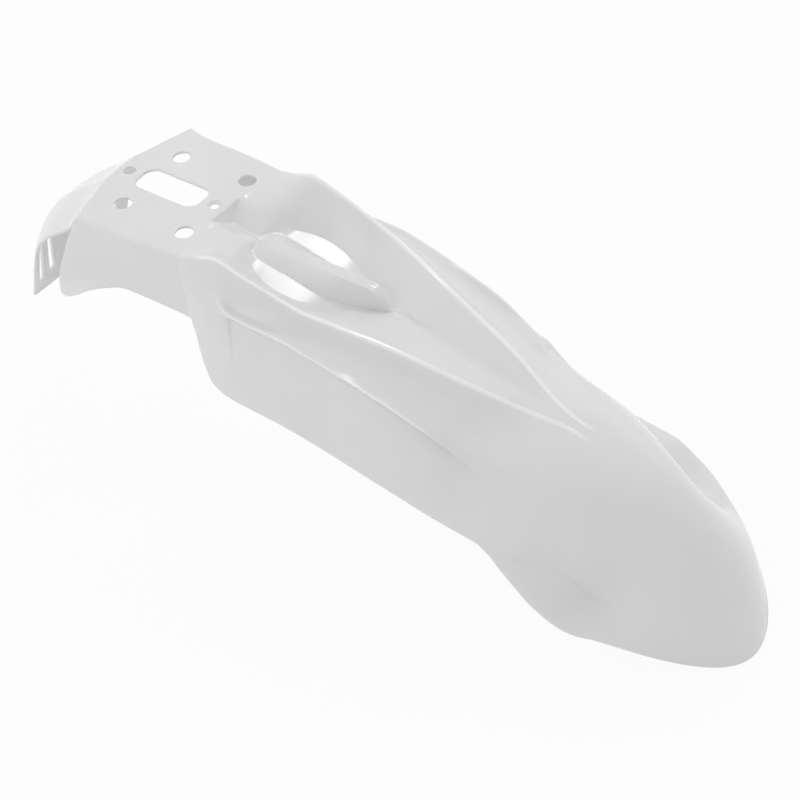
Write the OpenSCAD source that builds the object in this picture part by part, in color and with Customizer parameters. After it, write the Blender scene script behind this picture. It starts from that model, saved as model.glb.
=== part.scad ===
// Front fender of an off-road motorcycle, moulded in one piece.
// +X points forward, +Z is square to the mounting plate, and the origin lies on the plate's
// top face midway between the two front bolt holes. All lengths are in millimetres.

/* [Moulding] */
// Thickness of the moulded wall
wall = 2.5; // [2:0.1:3]
// Rounding of the bend between the mounting plate and its side skirts
plate_bend = 5; // [3:0.5:6]
// Rounding of the two sharp rails
rail_edge = 1.5; // [1:0.1:2]

/* [Mounting plate] */
// Distance between the two front bolt holes
front_spacing = 76; // [70:1:80]
// Distance between the two rear bolt holes
rear_spacing = 70; // [64:1:72]
// Distance from the front pair of bolt holes back to the rear pair
pair_pitch = 68; // [62:1:72]
// Diameter of the bolt holes, which take a collar and an M6 bolt
bolt_hole = 15; // [12:0.5:16]
// Length of the slot in the middle of the plate
slot_length = 66; // [50:1:68]
// Width of the slot
slot_width = 26; // [22:1:28]
// Corner radius of the slot
slot_corner = 10; // [4:0.5:10.5]
// Diameter of the small hole between the front bolts
pilot_hole = 7.5; // [5:0.5:9]
// Diameter of the shallow seat round the small hole
pilot_seat = 11.5; // [10:0.5:13]
// Depth of that seat
seat_depth = 1; // [0.5:0.1:1.5]
// Diameter of the drain hole at the rear of the plate
drain_hole = 10.5; // [6:0.5:12]

/* [Rear flap] */
// Distance of the inner vents from the centre plane
inner_vent = 28; // [24:1:30]
// Distance of the outer vents from the centre plane
outer_vent = 45; // [42:1:47]
// Width of each vent
vent_width = 6.5; // [4:0.5:8]
// Height of the inner vents' upper ends below the plate
inner_vent_top = 62; // [58:1:80]
// Height of the outer vents' upper ends below the plate
outer_vent_top = 76; // [70:1:90]
// Height of all the vents' lower ends below the plate
vent_foot = 124; // [100:1:126]

/* [Hidden] */
$fn = 48;
white = [0.93, 0.93, 0.92];
// Where the surface starts to lean back, where it starts to close into the nose, and its ends
lean_x = -50;
nose_x = 300;
edge_x = -104;
tip_x = 488;
// Centres of the plate's slot, drain hole and small hole
slot_x = -47.5;
drain_x = -93.5;
pilot_x = -2;

// The front rim seen from above is a blunt arc, and its height falls towards the tip
rim_half = 81.5;
rim_sweep = 67;
sweep_power = 2.1;
rim_height = [[0, -226], [22, -220.5], [40, -215.5], [54, -210], [65, -201], [74, -191.5],
    [rim_half, -183]];
function rim(y) = [tip_x - rim_sweep * pow(y / rim_half, sweep_power), y, along(rim_height, y, 1)];

// Each character line is a list of stations: distance forward, half width, height.
// The centre line runs over the plate, drops into the trough, climbs the pod, and falls to the tip
centre_line = [[-104, 0, 0], [11, 0, 0], [23.4, 0, -7], [30, 0, -12], [40, 0, -18], [46, 0, -17.6],
    [98, 0, -16.3], [150, 0, -20], [158, 0, -23], [173, 0, -31.3], [214, 0, -41.6], [268, 0, -54.5],
    [338, 0, -71.5], [370, 0, -79], [400, 0, -91], [430, 0, -111], [455, 0, -139], [474, 0, -175],
    rim(0)];
// Foot of the pod in the middle of the trough
pod_foot = [[-103, 16, 0], [11, 17, 0], [17, 8.5, -3.5], [23.4, 2, -7], [30, 2.5, -12], [40, 4, -19],
    [50, 8, -23], [60, 10, -25.5], [87, 12, -28], [130, 11, -31.6], [158, 7, -33.5], [173, 3.5, -32],
    [214, 4, -41], [268, 3, -54.3], [316, 2, -66.3], [338, 1.4, -71.5], [370, 2.5, -79.1],
    [400, 4, -91.2], [430, 5, -111.5], [455, 6, -140], rim(7)];
// Outer edge of the trough's floor
trough_edge = [[-100, 33, 0], [11, 33, 0], [22, 30, -1], [34, 24, -6], [46, 18.7, -10.6],
    [54, 22, -14], [62, 24, -19], [71, 25.7, -23.4], [81, 26.7, -26.5], [91, 27, -29], [104, 27, -31],
    [115, 25, -32], [125, 21, -32.5], [135, 16.5, -32], [150, 13, -31], [173, 12, -30],
    [214, 12, -39], [268, 8, -53], [316, 4.5, -66], [338, 2.8, -71.5], [370, 5, -79.2],
    [400, 8, -91.8], [430, 10.5, -112.5], [455, 12, -141.5], rim(14)];
// Bend of the plate, then the crest of the rail, then the shoulder of the nose
rail_crest = [[-88, 70, 0], [-66, 66, 0], [-41, 66, 0], [18, 62.5, 0], [30, 61.5, 3], [42, 60.7, 8.3],
    [51, 60.4, 11], [77, 59.5, 4.3], [103, 57.4, -3.6], [128, 55, -11.8], [152.5, 49.7, -17.3],
    [176.7, 43.7, -23.3], [200.7, 37.7, -29.3], [224, 32.3, -36], [248, 27, -43.3],
    [271, 21.6, -50.5], [293, 15, -58.6], [316, 8.2, -66.6], [338, 4.2, -71.6], [370, 8, -79.4],
    [400, 12, -92.6], [430, 15.5, -114], [455, 18, -143.5], rim(21)];
// Inner edge of the ledge along the lower rail
ledge_edge = [[-92, 70.5, -8], [-47, 67.3, -9], [18, 63.3, -10], [45, 66, -12], [60, 69, -17],
    [75, 71, -24], [121, 70.5, -26], [156, 70, -32.3], [181, 67.7, -40], [205, 66.4, -47.9],
    [230, 65.3, -55.9], [253, 64, -65.4], [275, 60, -76.5], [338, 50, -90], [375, 42, -101],
    [405, 38, -121], [440, 38, -155], rim(42)];
// Crest of the lower rail
lower_rail = [[-96, 72, -16], [-47, 67.8, -17], [18, 64, -19], [40, 68, -20], [60, 73, -22],
    [75, 76.5, -25], [121, 77, -26.7], [152, 76.2, -32.6], [186, 74.3, -40.9], [218, 72.3, -50.7],
    [247, 68.4, -64.6], [275, 63.3, -79.9], [338, 58, -98], [375, 50, -113], [410, 45, -138],
    [440, 46, -165], rim(50)];
// Top of the panel recessed below the lower rail
recess_top = [[-100, 74, -24.5], [-47, 68.3, -25], [18, 64.7, -28], [68, 75, -33], [72, 73, -33],
    [121, 73, -34], [186, 70.8, -48], [218, 69.5, -57], [247, 67, -69.5], [275, 64, -84],
    [338, 63, -106], [375, 57, -123], [410, 53, -149], [435, 54, -172], rim(57)];
// Foot of the recessed panel
recess_foot = [[-107, 82, -50], [-47, 70, -40], [18, 65.4, -44], [30, 70, -62], [45, 75, -74],
    [70, 79, -79.6], [91, 79.5, -78.6], [117, 80, -78], [150, 79.5, -75.9], [184, 78.5, -74],
    [223, 77, -72], [255, 73, -77], [280, 69, -90], [338, 71, -119], [375, 66, -133],
    [400, 62, -152], [425, 62, -174], rim(66)];
// Crease above the flared lip
lip_crease = [[-106, 87, -60], [-47, 71.5, -47], [18, 65.8, -53], [24, 69, -70], [30, 72, -84],
    [41, 76, -98], [60, 79.3, -103], [113, 82.5, -103], [224, 87, -114], [262, 88.5, -121],
    [305, 89, -129], [311, 88.6, -132.5], [330, 86, -138.5], [346, 81, -140.5], [369, 75, -141],
    [395, 72, -157], [415, 73, -173], rim(76)];
// Free lower edge: wing, arch over the fork, side panel and lip
lower_edge = [[-102, 91, -67], [-96, 92, -67], [-89, 90, -65], [-74, 84, -57], [-62, 77, -55],
    [-47, 72, -52.5], [-29, 69, -55], [-7, 67, -57], [18, 66, -59], [20, 66.3, -61], [27, 71, -86],
    [32, 73.5, -100], [41, 77, -110], [60, 80, -113.5], [113, 83, -112.5], [224, 88, -122.6],
    [262, 89, -128], [305, 90, -131.4], [311, 90, -135.4], [327.5, 94, -142.7], [344, 98, -150],
    [360, 101, -157], [375, 100, -165.5], [391, 96, -172], [406, 89, -177], rim(rim_half)];

// Rounding at the rail crest, and the hollow between rail and ledge, by distance forward
crest_round = [[-104, plate_bend], [18, plate_bend], [45, rail_edge], [330, rail_edge], [390, 5], [488, 5]];
flank_bulge = [[-104, 0], [20, 0], [60, -1.5], [110, -3.5], [230, -3.5], [290, -1.5], [338, 1],
    [375, 4], [430, 4], [488, 0]];

// The flap's centre profile by fraction of its length: fraction, forward, height
flap_foot_x = -198;
flap_profile = [[0, edge_x, 0], [0.15, -123, -14.5], [0.35, -158, -38.5], [0.6, -184.5, -64],
    [0.8, -192, -98], [1, flap_foot_x, -140]];
// Half width, then how far its sides lie forward of and below its middle
flap_half = [[0, 70], [0.15, 67], [0.35, 63], [0.6, 59.5], [0.8, 58.5], [1, 55]];
flap_side = [[0, 16, 0], [0.15, 15, -8], [0.35, 13.5, -10], [0.6, 17, -13], [0.8, 12, -12], [1, 7, 7]];

// Stations along the shell, closest where the plate steps down and the trough begins
stations = [-104, -97, -89, -80, -70, -58, -47, -35, -22, -8, 4, 11, 14, 17, 20, 23.4, 27, 30, 34,
    38, 42, 46, 50, 55, 61, 67, 69, 71, 73, 79, 86, 94, 103, 112, 121, 130, 140, 150, 157, 164,
    169, 173, 183, 194, 205, 217, 230, 243, 256, 268, 280, 293, 305, 316, 327, 338, 349, 361,
    374, 387, 400, 413, 426, 438, 449, 460, 470, 480, 488];
flap_rows = 8;

// Slope of a curve through stations, zero at a peak, so the curve never overshoots
function rise(t, i, c) = (t[i + 1][c] - t[i][c]) / (t[i + 1][0] - t[i][0]);
function slope(t, i, c) =
    i == 0 ? rise(t, 0, c) :
    i == len(t) - 1 ? rise(t, len(t) - 2, c) :
    let (a = rise(t, i - 1, c), b = rise(t, i, c))
    a * b <= 0 ? 0 : 2 * a * b / (a + b);
function span(t, x, i = 0) = i >= len(t) - 2 || x < t[i + 1][0] ? i : span(t, x, i + 1);
// Value of column c at x on the smooth curve through the stations of t
function along(t, x, c) =
    let (i = span(t, x), h = t[i + 1][0] - t[i][0], s = min(max((x - t[i][0]) / h, 0), 1))
    t[i][c] * (2 * pow(s, 3) - 3 * s * s + 1)
    + t[i + 1][c] * (3 * s * s - 2 * pow(s, 3))
    + slope(t, i, c) * h * (pow(s, 3) - 2 * s * s + s)
    + slope(t, i + 1, c) * h * (pow(s, 3) - s * s);

// A station's true place on one line: the lines lean back at the rear and gather at the nose
function reach(t, s) =
    s < lean_x ? lean_x + (s - lean_x) * (t[0][0] - lean_x) / (edge_x - lean_x) :
    s > nose_x ? nose_x + (s - nose_x) * (t[len(t) - 1][0] - nose_x) / (tip_x - nose_x) :
    s;
function point_on(t, s) = let (x = reach(t, s)) [x, along(t, x, 1), along(t, x, 2)];

function unit(v) = v / norm(v);
function mix(a, b, f) = a + (b - a) * f;
// A point between a and b, pushed out square to them within the section
function bowed(a, b, f, bow) =
    let (d = b - a, out = unit([0, -d[2], d[1]]))
    mix(a, b, f) + out * bow * 4 * f * (1 - f);
// A point r away from b towards a, but never past the middle
function toward(b, a, r) = b + unit(a - b) * min(r, norm(a - b) * 0.45);
// Three points that round the corner b between a and c
function rounded(a, b, c, r) =
    let (p = toward(b, a, r), q = toward(b, c, r))
    [p, (p + 2 * b + q) / 4, q];

// Ahead of the rails the lines fade into one smooth nose. Its section between the centre a and the
// lip's crease k falls away as a power of the distance from the centre plane.
nose_blend = [[280, 0], [345, 1]];
crease_fade = [[365, 0], [440, 1]];
nose_power = [[280, 2.6], [400, 2.6], [488, 1.7]];
function on_nose(p, a, k, s, w) =
    let (g = min(p[1] / k[1], 1))
    [mix(p[0], mix(a[0], k[0], pow(g, sweep_power)), w), p[1],
        mix(p[2], mix(a[2], k[2], pow(g, along(nose_power, s, 1))), w)];

// Half of one cross-section, from the centre plane to the lower edge
function half_section(s) =
    let (
        a = point_on(centre_line, s),
        b = point_on(pod_foot, s),
        c = point_on(trough_edge, s),
        d = point_on(rail_crest, s),
        e = point_on(ledge_edge, s),
        f = point_on(lower_rail, s),
        g = point_on(recess_top, s),
        h = point_on(recess_foot, s),
        m = point_on(lower_edge, s),
        k = on_nose(point_on(lip_crease, s), a, m, s, along(crease_fade, s, 1)),
        crest = rounded(c, d, e, along(crest_round, s, 1)),
        bow = along(flank_bulge, s, 1),
        lines = [a, mix(a, b, 0.5), b, mix(b, c, 0.5), c, mix(c, d, 0.5), crest[0], crest[1], crest[2],
            bowed(crest[2], e, 1 / 3, bow), bowed(crest[2], e, 2 / 3, bow), e, f, g, mix(g, h, 0.5), h,
            mix(h, k, 0.5), k]
    )
    concat([for (p = lines) on_nose(p, a, k, s, along(nose_blend, s, 1))], [m]);
function mirrored(p) = [p[0], -p[1], p[2]];
function both_halves(h) = concat([for (i = [len(h) - 1 : -1 : 1]) mirrored(h[i])], h);

// Number of the last point of a half section, and of the point where the plate's bend begins
last = 18;
bend = 6;

// The flap hangs from the plate's rear edge, between its two bends. Its edge starts as a shallow V
// and becomes a smooth curve at this fraction of its length.
curve_from = 0.35;
fall_power = 2.2;
rear_half = half_section(edge_x);
function flap_point(f, side) =
    [along(flap_profile, f, 1) + along(flap_side, f, 1) * pow(side, 1 + min(f / curve_from, 1)),
        along(flap_half, f, 1) * side,
        along(flap_profile, f, 2) + along(flap_side, f, 2) * pow(side, fall_power)];
function flap_half_row(f) = [for (i = [0 : last])
    let (
        start = rear_half[min(i, bend)],
        side = start[1] / rear_half[bend][1]
    )
    flap_point(f, side) + (start - flap_point(0, side)) * (1 - f)];

rows = concat(
    [for (i = [flap_rows : -1 : 1]) both_halves(flap_half_row(i / flap_rows))],
    [for (s = stations) both_halves(half_section(s))]);
row_count = len(rows);
col_count = 2 * last + 1;
// Which columns exist: the flap's rows stop at the bends
function first_col(i) = i < flap_rows ? last - bend : 0;
function last_col(i) = i < flap_rows ? last + bend : col_count - 1;
function first_row(j) = j < last - bend || j > last + bend ? flap_rows : 0;
function has_cell(i, j) = i >= first_row(j) && i >= first_row(j + 1) && i < row_count - 1
    && j >= 0 && j < col_count - 1;

// Outward direction at a grid point, from the neighbours of the nearest point inside the border
function outward(i, j) =
    let (
        m = min(max(i, first_row(j) + 1), row_count - 2),
        n = min(max(j, first_col(m) + 1), last_col(m) - 1)
    )
    unit(cross(rows[m + 1][n] - rows[m - 1][n], rows[m][n + 1] - rows[m][n - 1]));

// A wall's thickness behind a grid point, square to the surface
function plain(i, j) = rows[i][j] - outward(i, j) * wall;
// Under a rail the wall's inner corner is sharper than the outer one: a small copy of its rounding
least_copy = 0.15;
sharp_sine = 0.5;
function under_corner(i, j, corner, p, q) =
    let (
        u = unit(p - corner),
        v = unit(q - corner),
        sine = norm(cross(u, v)),
        setback = wall * (1 + u * v) / sine
    )
    sine < sharp_sine ? plain(i, j) :
    corner + (u + v) * wall / sine
        + (rows[i][j] - corner) * max(least_copy, 1 - setback / norm(p - corner));
// The upper rail is rounded by three columns of points. The lower rail is one sharp column.
lower_column = 12;
function behind(i, j) =
    let (n = abs(j - last), side = j < last ? -1 : 1)
    i >= flap_rows && n == lower_column ?
        under_corner(i, j, rows[i][j], rows[i][j - side], rows[i][j + side]) :
    i >= flap_rows && abs(n - bend - 1) <= 1 ?
        let (p = rows[i][last + side * bend], q = rows[i][last + side * (bend + 2)])
        under_corner(i, j, 2 * rows[i][last + side * (bend + 1)] - (p + q) / 2, p, q) :
    plain(i, j);

// Points of the outer face and of the inner face, a wall's thickness behind it
outer = [for (i = [0 : row_count - 1]) for (j = [0 : col_count - 1]) rows[i][j]];
inner = [for (i = [0 : row_count - 1]) for (j = [0 : col_count - 1])
    j >= first_col(i) && j <= last_col(i) ? behind(i, j) : rows[i][j]];
layer = row_count * col_count;
function id(i, j) = i * col_count + j;

// Two triangles for a quad, split so that the left and right halves mirror each other
function skin(i, j, base, flip) =
    let (
        p = base + id(i, j),
        q = base + id(i + 1, j),
        r = base + id(i + 1, j + 1),
        s = base + id(i, j + 1),
        pair = j < last ? [[p, r, q], [p, s, r]] : [[p, s, q], [q, s, r]]
    )
    flip ? [for (t = pair) [t[2], t[1], t[0]]] : pair;
// Two triangles that close the wall between the layers along one edge
function edge(a, b) = [[a, b, b + layer], [a, b + layer, a + layer]];

cells = [for (i = [0 : row_count - 2]) for (j = [0 : col_count - 2]) if (has_cell(i, j)) [i, j]];
function borders(i, j) = concat(
    has_cell(i, j - 1) ? [] : edge(id(i, j), id(i + 1, j)),
    has_cell(i, j + 1) ? [] : edge(id(i + 1, j + 1), id(i, j + 1)),
    has_cell(i - 1, j) ? [] : edge(id(i, j + 1), id(i, j)),
    has_cell(i + 1, j) ? [] : edge(id(i + 1, j), id(i + 1, j + 1)));
faces = [for (c = cells) each concat(
    skin(c[0], c[1], 0, false),
    skin(c[0], c[1], layer, true),
    borders(c[0], c[1]))];

module shell() {
    polyhedron(points = concat(outer, inner), faces = faces, convexity = 10);
}

// A drill that passes through the plate, from well below it to well above
drill_foot = -2 * wall;
drill_height = 3 * wall;
module drill(x, y, d) {
    translate([x, y, drill_foot])
        cylinder(d = d, h = drill_height);
}

// The slot with rounded corners, made from four drills and two bars
module plate_slot() {
    long = slot_length - 2 * slot_corner;
    across = slot_width - 2 * slot_corner;
    for (dx = [-1, 1])
        for (dy = [-1, 1])
            drill(slot_x + dx * long / 2, dy * across / 2, 2 * slot_corner);
    translate([slot_x - slot_length / 2, -across / 2, drill_foot])
        cube([slot_length, across, drill_height]);
    translate([slot_x - long / 2, -slot_width / 2, drill_foot])
        cube([long, slot_width, drill_height]);
}

// A round-ended vent cut straight back through the flap
vent_depth = 42;
module vent(y, top) {
    end = vent_width / 2;
    for (z = [-top - end, -vent_foot + end])
        translate([flap_foot_x - wall, y, z])
            rotate([0, 90, 0])
                cylinder(d = vent_width, h = vent_depth);
    translate([flap_foot_x - wall, y - end, -vent_foot + end])
        cube([vent_depth, vent_width, vent_foot - top - vent_width]);
}

// The whole fender: the shell with its bolt holes, slot, small holes and vents
module fender() {
    color(white)
        difference() {
            shell();
            for (side = [-1, 1]) {
                drill(0, side * front_spacing / 2, bolt_hole);
                drill(-pair_pitch, side * rear_spacing / 2, bolt_hole);
                vent(side * inner_vent, inner_vent_top);
                vent(side * outer_vent, outer_vent_top);
            }
            drill(drain_x, 0, drain_hole);
            drill(pilot_x, 0, pilot_hole);
            translate([pilot_x, 0, -seat_depth])
                cylinder(d = pilot_seat, h = wall);
            plate_slot();
        }
}

fender();
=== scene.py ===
import math

import bmesh
import bpy
import numpy as np
from mathutils import Matrix, Vector


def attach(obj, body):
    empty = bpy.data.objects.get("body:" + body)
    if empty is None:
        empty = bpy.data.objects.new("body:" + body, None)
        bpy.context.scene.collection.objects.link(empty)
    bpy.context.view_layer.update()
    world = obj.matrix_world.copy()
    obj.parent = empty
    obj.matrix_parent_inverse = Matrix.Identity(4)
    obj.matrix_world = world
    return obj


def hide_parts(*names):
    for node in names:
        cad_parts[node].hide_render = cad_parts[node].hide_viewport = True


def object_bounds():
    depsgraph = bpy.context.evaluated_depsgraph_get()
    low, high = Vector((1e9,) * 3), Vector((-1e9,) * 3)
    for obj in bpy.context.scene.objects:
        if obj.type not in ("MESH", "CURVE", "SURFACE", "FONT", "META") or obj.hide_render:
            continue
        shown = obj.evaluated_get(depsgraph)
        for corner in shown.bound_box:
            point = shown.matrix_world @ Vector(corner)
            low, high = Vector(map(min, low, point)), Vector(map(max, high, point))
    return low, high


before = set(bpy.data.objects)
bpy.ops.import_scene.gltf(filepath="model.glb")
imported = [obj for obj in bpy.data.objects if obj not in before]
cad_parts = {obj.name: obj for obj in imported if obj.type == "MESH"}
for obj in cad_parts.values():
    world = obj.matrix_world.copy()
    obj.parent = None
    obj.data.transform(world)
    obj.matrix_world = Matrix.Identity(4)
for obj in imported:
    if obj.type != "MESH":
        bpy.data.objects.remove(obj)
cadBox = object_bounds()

# The fender is one moulding: +X is forward, +Z square to the mounting plate. Tables are in
# millimetres and become metres when the mesh is shaped.
milli = 0.001

# The photograph's viewpoint: angles in degrees, lengths in metres
view = {
    "azimuth": 42.567, "elevation": 42.653, "roll": -7.67,
    "across": 0.143987, "rise": -0.152131, "distance": 1.6,
    "focalPixels": 2042.585, "imageSide": 800, "sensor": 36.0,
}


def placeCamera(v):
    a, e, r = (math.radians(v[k]) for k in ("azimuth", "elevation", "roll"))
    back = Vector((math.sin(a) * math.cos(e), -math.cos(a) * math.cos(e), math.sin(e)))
    level = Vector((math.cos(a), math.sin(a), 0))
    tall = back.cross(level)
    right = math.cos(r) * level + math.sin(r) * tall
    up = math.cos(r) * tall - math.sin(r) * level
    data = bpy.data.cameras.new("photoCamera")
    data.sensor_width = v["sensor"]
    data.lens = v["sensor"] * v["focalPixels"] / v["imageSide"]
    data.clip_start = 0.01
    camera = bpy.data.objects.new("photoCamera", data)
    bpy.context.scene.collection.objects.link(camera)
    turn = Matrix((right, up, back)).transposed().to_4x4()
    place = right * v["across"] + up * v["rise"] + back * v["distance"]
    camera.matrix_world = Matrix.Translation(place) @ turn
    bpy.context.scene.camera = camera


placeCamera(view)
print("camera placed")


shell = {
    "wall": 2.5, "leanX": -50, "noseX": 300, "edgeX": -104, "tipX": 488,
    "rimHalf": 81.5, "rimSweep": 67, "sweepPower": 2.1,
    "mostRound": 0.45, "flapRamp": 0.35, "flapPower": 2.2, "innerLeast": 0.15, "flatSine": 0.5,
    "sharpAngle": 35,
    "rimHeight": [[0, -226], [22, -220.5], [40, -215.5], [54, -210], [65, -201], [74, -191.5],
                  [81.5, -183]],
}


# Reads a column of a table at x, along a curve that never overshoots the table's values
def along(table, x, column):
    t = np.array(table, float)
    x = np.asarray(x, float)
    place, value = t[:, 0], t[:, column]
    rise = np.diff(value) / np.diff(place)
    slope = np.zeros(len(t))
    slope[0], slope[-1] = rise[0], rise[-1]
    a, b = rise[:-1], rise[1:]
    same = a * b > 0
    slope[1:-1][same] = 2 * a[same] * b[same] / (a[same] + b[same])
    i = np.clip(np.searchsorted(place, x, side="right") - 1, 0, len(t) - 2)
    h = place[i + 1] - place[i]
    s = np.clip((x - place[i]) / h, 0, 1)
    return (value[i] * (2 * s**3 - 3 * s**2 + 1) + value[i + 1] * (3 * s**2 - 2 * s**3)
            + slope[i] * h * (s**3 - 2 * s**2 + s) + slope[i + 1] * h * (s**3 - s**2))


# The lip's front edge, from the nose's tip round to its widest
def rim(y):
    forward = shell["tipX"] - shell["rimSweep"] * (y / shell["rimHalf"]) ** shell["sweepPower"]
    return [forward, y, float(along(shell["rimHeight"], y, 1))]


# Character lines of one half, from the middle out to the lower edge: x, y, z
centreLine = [[-104, 0, 0], [9, 0, 0], [9.5, 0, -0.93], [14.8, 0, -10.8], [40, 0, -15.2],
              [46, 0, -16.5], [68, 0, -16.2], [102, 0, -15.7], [132, 0, -15.1], [150, 0, -15.6],
              [157, 0, -16.5], [167, 0, -24], [173, 0, -31.3], [214, 0, -41.6], [268, 0, -54.5],
              [338, 0, -71.5], [370, 0, -79], [400, 0, -91], [430, 0, -111], [455, 0, -139],
              [474, 0, -175], rim(0)]
podTop = [[-103, 8, 0], [9, 8.5, 0], [9.5, 7.8, -0.93], [14.8, 0.5, -10.8], [40, 1.2, -15.4],
          [43.5, 4, -16.4], [46, 5, -16.8], [68, 5, -16.5], [102, 5, -16], [132, 5, -15.4],
          [150, 4.4, -15.9], [157, 4, -16.8], [167, 3, -24], [173, 1, -31.3], [214, 1, -41.4],
          [268, 1, -54.4], [316, 1, -66.3], [338, 0.7, -71.5], [370, 1.3, -79.05],
          [400, 2, -91.1], [430, 2.5, -111.2], [455, 3, -139.4], rim(3.5)]
podFoot = [[-103, 16, 0], [9, 17, 0], [9.5, 15.6, -0.93], [14.8, 0.9, -10.8], [40, 2.2, -15.6],
           [43.5, 10, -16.6], [46, 14.5, -17.2], [50, 16.5, -18.8], [58, 16.5, -20.4],
           [74, 16, -23.6], [87, 16.5, -26.2], [108, 16.8, -30.4], [118, 17, -31.7],
           [127, 14, -32.2],
           [140, 12, -32.8], [158, 7, -33.5], [173, 3.5, -32], [214, 4, -41], [268, 3, -54.3],
           [316, 2, -66.3], [338, 1.4, -71.5], [370, 2.5, -79.1], [400, 4, -91.2],
           [430, 5, -111.5], [455, 6, -140], rim(7)]
troughEdge = [[-100, 26, 0], [9, 17.6, 0], [14.8, 17.3, -1.2], [27.6, 16.8, -4], [33.7, 18.1, -6],
              [41.2, 20.2, -10], [47.8, 22.6, -15], [54, 25.6, -18.9], [58, 27.3, -20.4],
              [70, 31.8, -22.8], [84, 33.8, -25.6], [97.4, 32.4, -28.3], [110, 29, -30.8],
              [125, 24, -32.2], [135, 18, -32.6], [150, 13.5, -31.8],
              [173, 12, -30], [214, 12, -39], [268, 8, -53], [316, 4.5, -66], [338, 2.8, -71.5],
              [370, 5, -79.2], [400, 8, -91.8], [430, 10.5, -112.5], [455, 12, -141.5], rim(14)]
railCrest = [[-88, 70, 0], [-66, 66, 0], [-41, 66, 0], [13.5, 62.8, 0], [14, 62.7, 0.12],
             [30, 61.5, 3.8], [42, 60.7, 8.3], [51, 60.4, 10.88], [77, 59.5, 4.3],
             [103, 57.4, -3.6],
             [128, 55, -11.8], [152.5, 49.7, -17.3], [176.7, 43.7, -23.3], [200.7, 37.7, -29.3],
             [224, 32.3, -36], [248, 27, -43.3], [271, 21.6, -50.5], [293, 15, -58.6],
             [316, 8.2, -66.6], [338, 4.2, -71.6], [370, 8, -79.4], [400, 12, -92.6],
             [430, 15.5, -114], [455, 18, -143.5], rim(21)]
ledgeEdge = [[-92, 70.5, -8], [-47, 67.3, -9], [14.5, 63.4, -10], [15, 63.5, -10.02],
             [45, 66, -12], [60, 69, -17], [75, 71, -24], [121, 70.5, -26], [156, 70, -32.3],
             [181, 67.7, -40], [205, 66.4, -47.9], [230, 65.3, -55.9], [253, 64, -65.4],
             [275, 60, -76.5], [338, 50, -90], [375, 42, -101], [405, 38, -121],
             [440, 38, -155], rim(42)]
lowerRail = [[-96, 72, -16], [-47, 67.8, -17], [15.5, 64, -19], [16, 64.1, -19.02],
             [40, 68, -20], [60, 73, -22],
             [75, 76.5, -25], [121, 77, -26.7], [152, 76.2, -32.6], [186, 74.3, -40.9],
             [218, 72.3, -50.7], [247, 68.4, -64.6], [275, 63.3, -79.9], [338, 58, -98],
             [375, 50, -113], [410, 45, -138], [440, 46, -165], rim(50)]
recessTop = [[-100, 74, -24.5], [-47, 68.3, -25], [16.5, 64.7, -28], [17, 64.85, -28.1],
             [68, 75, -33], [72, 73, -33],
             [121, 73, -34], [186, 70.8, -48], [218, 69.5, -57], [247, 67, -69.5], [275, 64, -84],
             [338, 63, -106], [375, 57, -123], [410, 53, -149], [435, 54, -172], rim(57)]
recessFoot = [[-107, 82, -50], [-47, 70, -40], [17.5, 65.4, -44], [18, 65.6, -44.7],
              [30, 70, -62], [45, 75, -74],
              [70, 79, -79.6], [91, 79.5, -78.6], [117, 80, -78], [150, 79.5, -75.9],
              [184, 78.5, -74], [223, 77, -72], [255, 73, -77], [280, 69, -90], [338, 71, -119],
              [375, 66, -133], [400, 62, -152], [425, 62, -174], rim(66)]
lipCrease = [[-106, 87, -60], [-47, 71.5, -47], [18, 65.8, -53], [18.4, 66, -54.1],
             [24, 69, -70], [30, 72, -84],
             [41, 76, -98], [60, 79.3, -103], [113, 82.5, -103], [224, 87, -114], [262, 88.5, -121],
             [305, 89, -129], [311, 88.6, -132.5], [330, 85, -137], [346, 78, -139.5],
             [367, 69.5, -147], [382, 66, -160], [394, 65, -171], [410, 68, -180], rim(76)]
lowerEdge = [[-102, 91, -67], [-96, 92, -67], [-89, 90, -65], [-74, 84, -57], [-62, 77, -55],
             [-47, 72, -52.5], [-29, 69, -55], [-7, 67, -57], [18, 66, -59], [20, 66.3, -61],
             [27, 71, -86], [32, 73.5, -100], [41, 77, -110], [60, 80, -113.5], [113, 83, -112.5],
             [224, 88, -122.6], [262, 89, -128], [305, 90, -131.4], [311, 90, -135.4],
             [327.5, 94, -142.7], [344, 98, -150], [360, 100.92, -157], [375, 100, -165.5],
             [391, 96, -172], [406, 89, -177], rim(shell["rimHalf"])]
# Roundings, painted crest highlight, bow of the flank and how the sections fade into the nose, by
# distance forward
crestRound = [[-104, 3], [14, 3], [34, 2], [45, 1.3], [330, 1.3], [390, 5], [488, 5]]
lowerRound = [[-104, 2], [45, 1.2], [250, 1.2], [300, 3], [488, 3]]
# Painted highlight along the rail crests and the lower rail crests, from 0 to 1 by distance
# forward: the base colour is turned near-white there to stand for the lamps' highlight lines
paintedCrestHighlight = ([[30, 0], [46, 1], [334, 1], [350, 0]], [[60, 0], [75, 0.7], [235, 0.7], [260, 0]])
flankBulge = [[-104, 0], [20, 0], [60, -1.5], [110, -3.5], [230, -3.5], [290, -1.5], [338, 1],
              [375, 4], [430, 4], [488, 0]]
noseBlend = [[280, 0], [345, 1]]
creaseFade = [[425, 0], [480, 1]]
nosePower = [[280, 2.6], [370, 2.5], [430, 2.1], [488, 1.7]]
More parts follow.
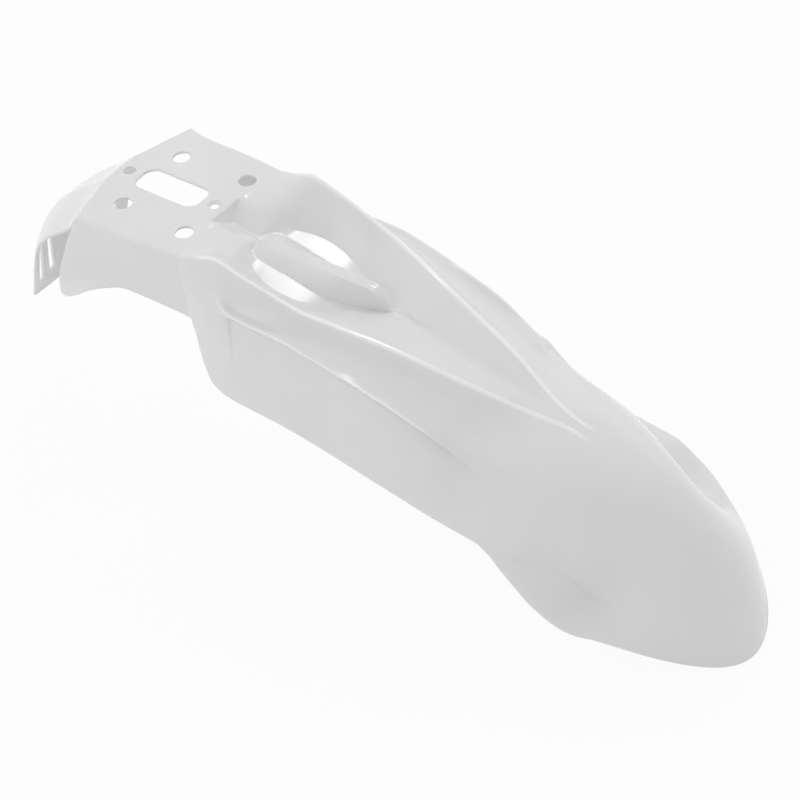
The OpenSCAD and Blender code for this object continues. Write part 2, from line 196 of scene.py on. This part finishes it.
# How sharp the fold along a column is, from 0 for smooth to 1, by distance forward
folds = {
    0: [[13, 0], [14, 1], [335, 1], [345, 0]], 1: [[13, 0], [14, 1], [165, 1], [173, 0]],
    2: [[8, 0], [9, 1], [165, 1], [173, 0]], 4: [[8, 0], [9, 1], [120, 1], [135, 0]],
    15: [[66, 0], [69, 1], [262, 1], [280, 0]], 19: [[296, 0], [305, 0.8], [375, 0.8], [420, 0]],
}
stations = [-104, -97, -89, -80, -70, -58, -47, -35, -22, -8, 4, 9, 9.5, 12, 14.8, 17, 20, 23.4, 27,
            30, 34, 38, 42, 46, 50, 55, 61, 67, 69, 71, 73, 79, 86, 94, 103, 112, 121, 130, 140,
            150, 157, 164, 169, 173, 183, 194, 205, 217, 230, 243, 256, 268, 280, 293, 305,
            316, 327, 338, 349, 361, 374, 387, 400, 413, 426, 438, 449, 460, 470, 480, 488]
# The rear flap, by fraction down it: its middle line, half width, and how its sides turn
flapProfile = [[0, -104, 0], [0.15, -123, -14.5], [0.35, -158, -38.5], [0.6, -184.5, -64],
               [0.8, -192, -98], [1, -198, -140]]
flapHalf = [[0, 70], [0.15, 67], [0.35, 63], [0.6, 59.5], [0.8, 58.5], [1, 55]]
flapSide = [[0, 16, 0], [0.15, 15, -8], [0.35, 13.5, -10], [0.6, 17, -13], [0.8, 12, -12],
            [1, 7, 7]]


def unit(v):
    return v / np.linalg.norm(v, axis=-1, keepdims=True)


# A line's own x at station s, because the lines lean at the rear and sweep back at the nose
def reach(table, s):
    lean, nose = shell["leanX"], shell["noseX"]
    rear = lean + (s - lean) * (table[0][0] - lean) / (shell["edgeX"] - lean)
    front = nose + (s - nose) * (table[-1][0] - nose) / (shell["tipX"] - nose)
    return np.where(s < lean, rear, np.where(s > nose, front, s))


def pointOn(table, s):
    x = reach(table, s)
    return np.stack([x, along(table, x, 1), along(table, x, 2)], -1)


def toward(b, a, r):
    return b + unit(a - b) * np.minimum(
        r, np.linalg.norm(a - b, axis=-1) * shell["mostRound"])[:, None]


def rounded(a, b, c, r):
    p, q = toward(b, a, r), toward(b, c, r)
    return [p, (p + 2 * b + q) / 4, q]


def bowed(a, b, f, bow):
    d = b - a
    out = unit(np.stack([np.zeros(len(d)), -d[:, 2], d[:, 1]], -1))
    return a + d * f + out * (bow * 4 * f * (1 - f))[:, None]


# Draws a point towards the nose's plain section between its middle a and its crease k
def onNose(p, a, k, s, w):
    g = np.minimum(p[:, 1] / k[:, 1], 1)
    x = a[:, 0] + (k[:, 0] - a[:, 0]) * g ** shell["sweepPower"]
    z = a[:, 2] + (k[:, 2] - a[:, 2]) * g ** along(nosePower, s, 1)
    return np.stack([p[:, 0] + (x - p[:, 0]) * w, p[:, 1], p[:, 2] + (z - p[:, 2]) * w], -1)


bend, lastColumn = 6, 20
crestStarts = (6, 12)


def halfSections(s):
    a, top, b, c, d, e, f, g, h, m = (pointOn(t, s) for t in (
        centreLine, podTop, podFoot, troughEdge, railCrest, ledgeEdge, lowerRail, recessTop,
        recessFoot, lowerEdge))
    k = onNose(pointOn(lipCrease, s), a, m, s, along(creaseFade, s, 1))
    crest = rounded(c, d, e, along(crestRound, s, 1))
    low = rounded(e, f, g, along(lowerRound, s, 1))
    bow = along(flankBulge, s, 1)
    lines = [a, top, b, (b + c) / 2, c, (c + d) / 2, *crest,
             bowed(crest[2], e, 1 / 3, bow), bowed(crest[2], e, 2 / 3, bow), e, *low,
             g, (g + h) / 2, h, (h + k) / 2, k]
    w = along(noseBlend, s, 1)
    return np.stack([onNose(p, a, k, s, w) for p in lines] + [m], 1)


def flapRows(f, rearHalf):
    def flapPoint(f, side):
        power = 1 + np.minimum(f / shell["flapRamp"], 1)
        return np.stack([
            along(flapProfile, f, 1) + along(flapSide, f, 1) * side**power,
            along(flapHalf, f, 1) * side,
            along(flapProfile, f, 2) + along(flapSide, f, 2) * side**shell["flapPower"]], -1)

    columns = []
    for i in range(lastColumn + 1):
        start = rearHalf[min(i, bend)]
        side = np.full(len(f), start[1] / rearHalf[bend][1])
        columns.append(flapPoint(f, side) + (start - flapPoint(0 * f, side)) * (1 - f)[:, None])
    return np.stack(columns, 1)


def bothHalves(half):
    return np.concatenate([half[:, :0:-1] * [1, -1, 1], half], 1)


def between(values, steps):
    v = np.array(values, float)
    parts = [v[i] + (v[i + 1] - v[i]) * np.arange(steps) / steps for i in range(len(v) - 1)]
    return np.concatenate(parts + [v[-1:]])


def outward(rows, flapCount):
    n, c = rows.shape[:2]
    i, j = np.meshgrid(np.arange(n), np.arange(c), indexing="ij")
    firstRow = np.where(abs(j - lastColumn) > bend, flapCount, 0)
    m = np.minimum(np.maximum(i, firstRow + 1), n - 2)
    edge = np.where(m < flapCount, lastColumn - bend, 0)
    k = np.minimum(np.maximum(j, edge + 1), c - 2 - edge)
    return unit(np.cross(rows[m + 1, k] - rows[m - 1, k], rows[m, k + 1] - rows[m, k - 1]))


# The inner face lies a wall's thickness behind the outer one, with a true inner corner
# under each rail
def innerRows(rows, flapCount):
    wall = shell["wall"]
    inner = rows - outward(rows, flapCount) * wall
    for start in crestStarts:
        for side in (-1, 1):
            p, m, q = (rows[flapCount:, lastColumn + side * (start + n)] for n in range(3))
            corner = 2 * m - (p + q) / 2
            u, v = unit(p - corner), unit(q - corner)
            sine = np.linalg.norm(np.cross(u, v), axis=-1, keepdims=True)
            setback = wall * (1 + (u * v).sum(-1, keepdims=True)) / sine
            arm = np.linalg.norm(p - corner, axis=-1, keepdims=True)
            copy = np.maximum(shell["innerLeast"], 1 - setback / arm)
            for n, point in enumerate((p, m, q)):
                made = corner + (u + v) * wall / sine + (point - corner) * copy
                column = lastColumn + side * (start + n)
                inner[flapCount:, column] = np.where(
                    sine < shell["flatSine"], inner[flapCount:, column], made)
    return inner


# Fills in columns along a curve through each section's points that never overshoots them. It is
# smooth but for the folds, and its points lie closest beside the section's own.
def refined(rows, steps, sharp):
    gap = np.diff(rows, axis=1)
    length = np.linalg.norm(gap, axis=-1, keepdims=True) + 1e-6
    rise = gap / length
    a, b = rise[:, :-1], rise[:, 1:]
    la, lb = length[:, :-1], length[:, 1:]
    mean = (a * lb + b * la) / (la + lb)
    cap = 3 * np.minimum(abs(a), abs(b))
    mid = np.where(a * b > 0, np.sign(a) * np.minimum(abs(mean), cap), 0)
    slope = np.concatenate([rise[:, :1], mid, rise[:, -1:]], 1)
    leave = slope + (np.concatenate([rise, rise[:, -1:]], 1) - slope) * sharp
    arrive = slope + (np.concatenate([rise[:, :1], rise], 1) - slope) * sharp
    columns = []
    for j, count in enumerate(steps):
        for n in range(count):
            s = (1 - math.cos(math.pi * n / count)) / 2
            columns.append(rows[:, j] * (2 * s**3 - 3 * s**2 + 1)
                           + rows[:, j + 1] * (3 * s**2 - 2 * s**3)
                           + leave[:, j] * length[:, j] * (s**3 - 2 * s**2 + s)
                           + arrive[:, j + 1] * length[:, j] * (s**3 - s**2))
    columns.append(rows[:, -1])
    return np.stack(columns, 1)


mesh = {
    "rowSteps": 3, "flapSteps": 24, "rimRound": 0.6,
    "halfSteps": [3, 3, 4, 3, 4, 4, 3, 3, 4, 4, 4, 3, 3, 3, 3, 4, 4, 4, 4, 3],
}


# One face of the wall: a grid bent to the points, without those that are not kept. Its paler values
# are each point's share of painted crest highlight.
def addLayer(bm, points, kept, paler, inside, marks):
    rows, columns = points.shape[:2]
    made = bmesh.ops.create_grid(bm, x_segments=rows - 1, y_segments=columns - 1, size=1)["verts"]
    dropped = []
    for v in made:
        i = round((v.co.x + 1) / 2 * (rows - 1))
        j = round((v.co.y + 1) / 2 * (columns - 1))
        v.co = Vector(points[i, j]) * milli
        v[marks[0]], v[marks[1]] = inside, paler[i, j]
        if not kept[i, j]:
            dropped.append(v)
    bmesh.ops.delete(bm, geom=dropped, context="VERTS")


# Painted highlight strength by grid point: up to 1 on the crests of the rails and of the lower
# rails
def paintedHighlightMask(shape, steps, places, count):
    mask = np.zeros(shape)
    starts = np.concatenate([[0], np.cumsum(steps)])
    for first, table in zip(crestStarts, paintedCrestHighlight):
        for side in (-1, 1):
            ends = sorted(starts[lastColumn + side * n] for n in (first, first + 2))
            mask[count:, ends[0]:ends[1] + 1] = along(table, places, 1)[:, None]
    return mask


def shellMesh():
    places = between(stations, mesh["rowSteps"])
    sections = halfSections(places)
    count = mesh["flapSteps"]
    fractions = np.arange(count, 0, -1) / count
    rows = bothHalves(np.concatenate([flapRows(fractions, sections[0]), sections]))
    steps = mesh["halfSteps"][::-1] + mesh["halfSteps"]
    sharp = np.zeros(rows.shape[:2] + (1,))
    for column, table in folds.items():
        for side in (-1, 1):
            sharp[count:, lastColumn + side * column, 0] = along(table, places, 1)
    outer = refined(rows, steps, sharp)
    inner = refined(innerRows(rows, count), steps, sharp)
    middle = sum(mesh["halfSteps"])
    flapColumns = sum(mesh["halfSteps"][:bend])
    i, j = np.meshgrid(np.arange(outer.shape[0]), np.arange(outer.shape[1]), indexing="ij")
    kept = (i >= count) | (abs(j - middle) <= flapColumns)

    bm = bmesh.new()
    for name in ("inside", "crest"):
        bm.verts.layers.float.new(name)
    marks = [bm.verts.layers.float[name] for name in ("inside", "crest")]
    # The outer face carries the painted crest highlight, the inner face none
    addLayer(bm, outer, kept, paintedHighlightMask(outer.shape[:2], steps, places, count), 0.0, marks)
    addLayer(bm, inner, kept, np.zeros(inner.shape[:2]), 1.0, marks)
    border = [e for e in bm.edges if e.is_boundary]
    rimFaces = set(bmesh.ops.bridge_loops(bm, edges=border)["faces"])
    bmesh.ops.recalc_face_normals(bm, faces=bm.faces[:])
    corners = [e for e in bm.edges
               if len(e.link_faces) == 2 and len(rimFaces.intersection(e.link_faces)) == 1]
    bmesh.ops.bevel(bm, geom=corners, offset=mesh["rimRound"] * milli, offset_type="OFFSET",
                    segments=2, profile=0.5, affect="EDGES", clamp_overlap=True, material=-1)
    return bm


def linked(bm, name):
    data = bpy.data.meshes.new(name)
    bm.to_mesh(data)
    bm.free()
    piece = bpy.data.objects.new(name, data)
    bpy.context.scene.collection.objects.link(piece)
    return piece


fender = linked(shellMesh(), "fenderShell")
print("shell made", len(fender.data.polygons))


holes = {
    "round": 0.6, "smallRound": 0.35, "skim": 0.02, "above": 3.0, "below": 6.0,
    "bolts": [(0, 38, 7.5), (0, -38, 7.5), (-68, 35, 7.5), (-68, -35, 7.5)],
    "drain": (-93.5, 0, 5.25), "pilot": (-2, 0, 3.75), "seat": 2.0, "seatDepth": 1.0,
    "slotX": -47.5, "slotHalf": (33, 13), "slotCorner": 10,
    "ventHalf": 3.25, "ventX": (-201, -158), "ventFoot": 124, "vents": [(28, 62), (45, 76)],
}


# Points of a round-cornered bar, or of a circle where the bar has no length
def barOutline(halfLong, halfWide, corner, arc=12):
    def outline(offset):
        points = []
        for turn, (sx, sy) in enumerate(((1, 1), (-1, 1), (-1, -1), (1, -1))):
            for n in range(arc + 1):
                angle = math.pi / 2 * (turn + n / arc)
                points.append((sx * (halfLong - corner) + (corner + offset) * math.cos(angle),
                               sy * (halfWide - corner) + (corner + offset) * math.sin(angle)))
        return [p for n, p in enumerate(points) if math.dist(p, points[n - 1]) > 1e-6]
    return outline


# A closed plug through an outline, stepping through (height, offset) levels
def addPlug(bm, outline, levels, place):
    count = len(outline(0))
    bmesh.ops.create_circle(bm, cap_ends=True, segments=count, radius=1)
    bm.faces.ensure_lookup_table()
    face = bm.faces[-1]
    turned = sorted(face.verts, key=lambda v: math.atan2(v.co.y, v.co.x) % (2 * math.pi))
    order = {v: n for n, v in enumerate(turned)}
    for n, (height, offset) in enumerate(levels):
        if n:
            before = {tuple(round(c, 7) for c in v.co): k for v, k in order.items()}
            made = bmesh.ops.extrude_face_region(bm, geom=[face])["geom"]
            if n > 1:
                bmesh.ops.delete(bm, geom=[face], context="FACES_ONLY")
            face = [g for g in made if isinstance(g, bmesh.types.BMFace)][0]
            order = {v: before[tuple(round(c, 7) for c in v.co)] for v in face.verts}
        points = outline(offset)
        for v, k in order.items():
            v.co = place @ Vector((points[k][0], points[k][1], height)) * milli


# Levels that round a hole's upper edge, or its lower one
def fillet(height, offset, size, upper, steps=4):
    out = []
    for n in range(steps + 1):
        angle = math.pi / 2 * n / steps
        sine, cosine = math.sin(angle), math.cos(angle)
        down, across = (1 - cosine, 1 - sine) if upper else (sine - 1, 1 - cosine)
        out.append((height - size * down, offset + size * across))
    return out


def cutterMesh():
    h, wall = holes, shell["wall"]
    size, skim = h["round"], h["skim"]
    lower = fillet(-wall + skim, 0, size, False) + [(-h["below"], size)]
    through = [(h["above"], size)] + fillet(-skim, 0, size, True) + lower
    bm = bmesh.new()
    for x, y, r in h["bolts"] + [h["drain"]]:
        addPlug(bm, barOutline(r, r, r), through, Matrix.Translation((x, y, 0)))
    x, y, r = h["pilot"]
    small = h["smallRound"]
    seated = ([(h["above"], h["seat"] + small)] + fillet(-skim, h["seat"], small, True)
              + [(-h["seatDepth"], h["seat"])] + fillet(-h["seatDepth"] - skim, 0, small, True)
              + fillet(-wall + skim, 0, small, False) + [(-h["below"], small)])
    addPlug(bm, barOutline(r, r, r), seated, Matrix.Translation((x, y, 0)))
    halfLong, halfWide = h["slotHalf"]
    addPlug(bm, barOutline(halfLong, halfWide, h["slotCorner"]), through,
            Matrix.Translation((h["slotX"], 0, 0)))
    facing = Matrix(((0, 0, 1, 0), (1, 0, 0, 0), (0, 1, 0, 0), (0, 0, 0, 1)))
    for y, top in h["vents"]:
        for side in (-1, 1):
            middle = -(top + h["ventFoot"]) / 2
            outline = barOutline(h["ventHalf"], (h["ventFoot"] - top) / 2, h["ventHalf"])
            addPlug(bm, outline, [(h["ventX"][0], 0), (h["ventX"][1], 0)],
                    Matrix.Translation((0, side * y, middle)) @ facing)
    bmesh.ops.recalc_face_normals(bm, faces=bm.faces[:])
    return bm


def cut(piece, cutter):
    modifier = piece.modifiers.new("holes", "BOOLEAN")
    modifier.operation = "DIFFERENCE"
    modifier.solver = "MANIFOLD"
    modifier.object = cutter
    graph = bpy.context.evaluated_depsgraph_get()
    result = bpy.data.meshes.new_from_object(piece.evaluated_get(graph))
    piece.modifiers.clear()
    piece.data = result
    bpy.data.objects.remove(cutter)


cut(fender, linked(cutterMesh(), "holeCutter"))
fender.data.shade_smooth()
fender.data.set_sharp_from_angle(angle=math.radians(shell["sharpAngle"]))
print("holes cut", len(fender.data.polygons))


# Glossy outside with a faint moulding ripple and a painted highlight on the rail crests, matt and
# grained inside
plastic = {
    "pale": (0.80, 0.80, 0.795, 1), "paler": (0.83, 0.83, 0.828, 1),
    # crest is the near-white colour of the painted highlight along the rail crests
    "crest": (0.98, 0.98, 0.98, 1), "ior": 1.49,
    "roughness": (0.13, 0.19), "insideRoughness": 0.42,
    "glowThrough": 0.5, "glowDepth": 0.004, "glowColour": (1, 1, 0.95),
    "clouds": (14, 3), "wipes": (60, 4), "ripple": (700, 2), "grain": (2600, 2),
    "rippleStrength": 0.06, "rippleHeight": 0.0004, "grainStrength": 0.5, "grainHeight": 0.0003,
}


def plasticMaterial():
    material = bpy.data.materials.new("mouldedGloss")
    material.use_nodes = True
    nodes, links = material.node_tree.nodes, material.node_tree.links
    shader = nodes["Principled BSDF"]
    shader.inputs["IOR"].default_value = plastic["ior"]
    shader.inputs["Subsurface Weight"].default_value = plastic["glowThrough"]
    shader.inputs["Subsurface Radius"].default_value = plastic["glowColour"]
    shader.inputs["Subsurface Scale"].default_value = plastic["glowDepth"]
    place = nodes.new("ShaderNodeTexCoord")
    inside = nodes.new("ShaderNodeAttribute")
    inside.attribute_name = "inside"

    def noise(scale, detail):
        node = nodes.new("ShaderNodeTexNoise")
        node.inputs["Scale"].default_value = scale
        node.inputs["Detail"].default_value = detail
        links.new(place.outputs["Object"], node.inputs["Vector"])
        return node.outputs["Fac"]

    def ranged(value, low, high):
        node = nodes.new("ShaderNodeMapRange")
        node.inputs["From Min"].default_value = 0.3
        node.inputs["From Max"].default_value = 0.7
        node.inputs["To Min"].default_value = low
        node.inputs["To Max"].default_value = high
        links.new(value, node.inputs["Value"])
        return node.outputs["Result"]

    tint = nodes.new("ShaderNodeMix")
    tint.data_type = "RGBA"
    tint.inputs["A"].default_value = plastic["pale"]
    tint.inputs["B"].default_value = plastic["paler"]
    links.new(ranged(noise(*plastic["clouds"]), 0, 1), tint.inputs["Factor"])
    # Painted highlight: the base colour turns near-white along the rail crests, by the crest
    # attribute, standing for the lamps' highlight lines
    crest = nodes.new("ShaderNodeAttribute")
    crest.attribute_name = "crest"
    paintedHighlightMix = nodes.new("ShaderNodeMix")
    paintedHighlightMix.data_type = "RGBA"
    links.new(crest.outputs["Fac"], paintedHighlightMix.inputs["Factor"])
    links.new(tint.outputs["Result"], paintedHighlightMix.inputs["A"])
    paintedHighlightMix.inputs["B"].default_value = plastic["crest"]
    links.new(paintedHighlightMix.outputs["Result"], shader.inputs["Base Color"])

    rough = nodes.new("ShaderNodeMix")
    links.new(inside.outputs["Fac"], rough.inputs["Factor"])
    links.new(ranged(noise(*plastic["wipes"]), *plastic["roughness"]), rough.inputs["A"])
    rough.inputs["B"].default_value = plastic["insideRoughness"]
    links.new(rough.outputs["Result"], shader.inputs["Roughness"])

    ripple = nodes.new("ShaderNodeBump")
    ripple.inputs["Strength"].default_value = plastic["rippleStrength"]
    ripple.inputs["Distance"].default_value = plastic["rippleHeight"]
    links.new(noise(*plastic["ripple"]), ripple.inputs["Height"])
    grain = nodes.new("ShaderNodeBump")
    grain.inputs["Distance"].default_value = plastic["grainHeight"]
    links.new(noise(*plastic["grain"]), grain.inputs["Height"])
    links.new(ranged(inside.outputs["Fac"], 0, plastic["grainStrength"]), grain.inputs["Strength"])
    links.new(ripple.outputs["Normal"], grain.inputs["Normal"])
    links.new(grain.outputs["Normal"], shader.inputs["Normal"])
    return material


fender.data.materials.clear()
fender.data.materials.append(plasticMaterial())
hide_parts("fender")
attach(fender, "root")
print("plastic done")


studio = {
    "floorColour": (0.9, 0.9, 0.9, 1), "floorRoughness": 0.9, "floorHalf": 6, "floorGap": 0.0005,
    "seenWhite": 0.93, "worldStrength": 0.69, "aim": (0.15, 0, -0.1), "lampDistance": 1.6,
    "lamps": [
        ("keyLamp", 111, 53, (0.5, 0.3), 3.1),
        ("farLamp", 90, 20, (1.2, 1.2), 1.2),
        ("nearLamp", -135, 25, (1.2, 1.2), 2.7),
    ],
}


# 1 where the camera, a reflection or a see-through material looks, else 0
def seenDirectly(nodes, links):
    path = nodes.new("ShaderNodeLightPath")
    seen = path.outputs["Is Camera Ray"]
    for ray in ("Is Glossy Ray", "Is Transmission Ray"):
        either = nodes.new("ShaderNodeMath")
        either.operation = "MAXIMUM"
        links.new(seen, either.inputs[0])
        links.new(path.outputs[ray], either.inputs[1])
        seen = either.outputs[0]
    return seen


def makeFloor(low):
    bm = bmesh.new()
    bmesh.ops.create_grid(bm, x_segments=1, y_segments=1, size=studio["floorHalf"])
    floor = linked(bm, "floor")
    floor.location.z = low - studio["floorGap"]
    material = bpy.data.materials.new("paleFloor")
    material.use_nodes = True
    nodes, links = material.node_tree.nodes, material.node_tree.links
    shader = nodes["Principled BSDF"]
    shader.inputs["Base Color"].default_value = studio["floorColour"]
    shader.inputs["Roughness"].default_value = studio["floorRoughness"]
    glow = nodes.new("ShaderNodeEmission")
    mixed = nodes.new("ShaderNodeMixShader")
    share = nodes.new("ShaderNodeMath")
    share.operation = "MULTIPLY"
    share.inputs[1].default_value = studio["seenWhite"]
    links.new(seenDirectly(nodes, links), share.inputs[0])
    links.new(share.outputs[0], mixed.inputs["Fac"])
    links.new(shader.outputs["BSDF"], mixed.inputs[1])
    links.new(glow.outputs["Emission"], mixed.inputs[2])
    links.new(mixed.outputs["Shader"], nodes["Material Output"].inputs["Surface"])
    floor.data.materials.append(material)


def makeWorld():
    world = bpy.data.worlds.new("studio")
    bpy.context.scene.world = world
    world.use_nodes = True
    nodes, links = world.node_tree.nodes, world.node_tree.links
    background = nodes["Background"]
    background.inputs["Color"].default_value = (1, 1, 1, 1)
    strength = nodes.new("ShaderNodeMapRange")
    strength.inputs["To Min"].default_value = studio["worldStrength"]
    strength.inputs["To Max"].default_value = studio["seenWhite"]
    links.new(seenDirectly(nodes, links), strength.inputs["Value"])
    links.new(strength.outputs["Result"], background.inputs["Strength"])


# A soft lamp of the given width and height, turned by its azimuth from +X and raised above the
# floor, in degrees
def makeLamp(name, azimuth, height, size, power):
    a, e = math.radians(azimuth), math.radians(height)
    away = Vector((math.cos(a) * math.cos(e), math.sin(a) * math.cos(e), math.sin(e)))
    data = bpy.data.lights.new(name, "AREA")
    data.shape = "ELLIPSE"
    data.size, data.size_y = size
    data.energy = power
    lamp = bpy.data.objects.new(name, data)
    lamp.location = Vector(studio["aim"]) + away * studio["lampDistance"]
    lamp.rotation_euler = (-away).to_track_quat("-Z", "Y").to_euler()
    bpy.context.scene.collection.objects.link(lamp)


makeFloor(cadBox[0][2])
makeWorld()
for lamp in studio["lamps"]:
    makeLamp(*lamp)
bpy.context.scene.view_settings.view_transform = "Standard"
print("studio lit")
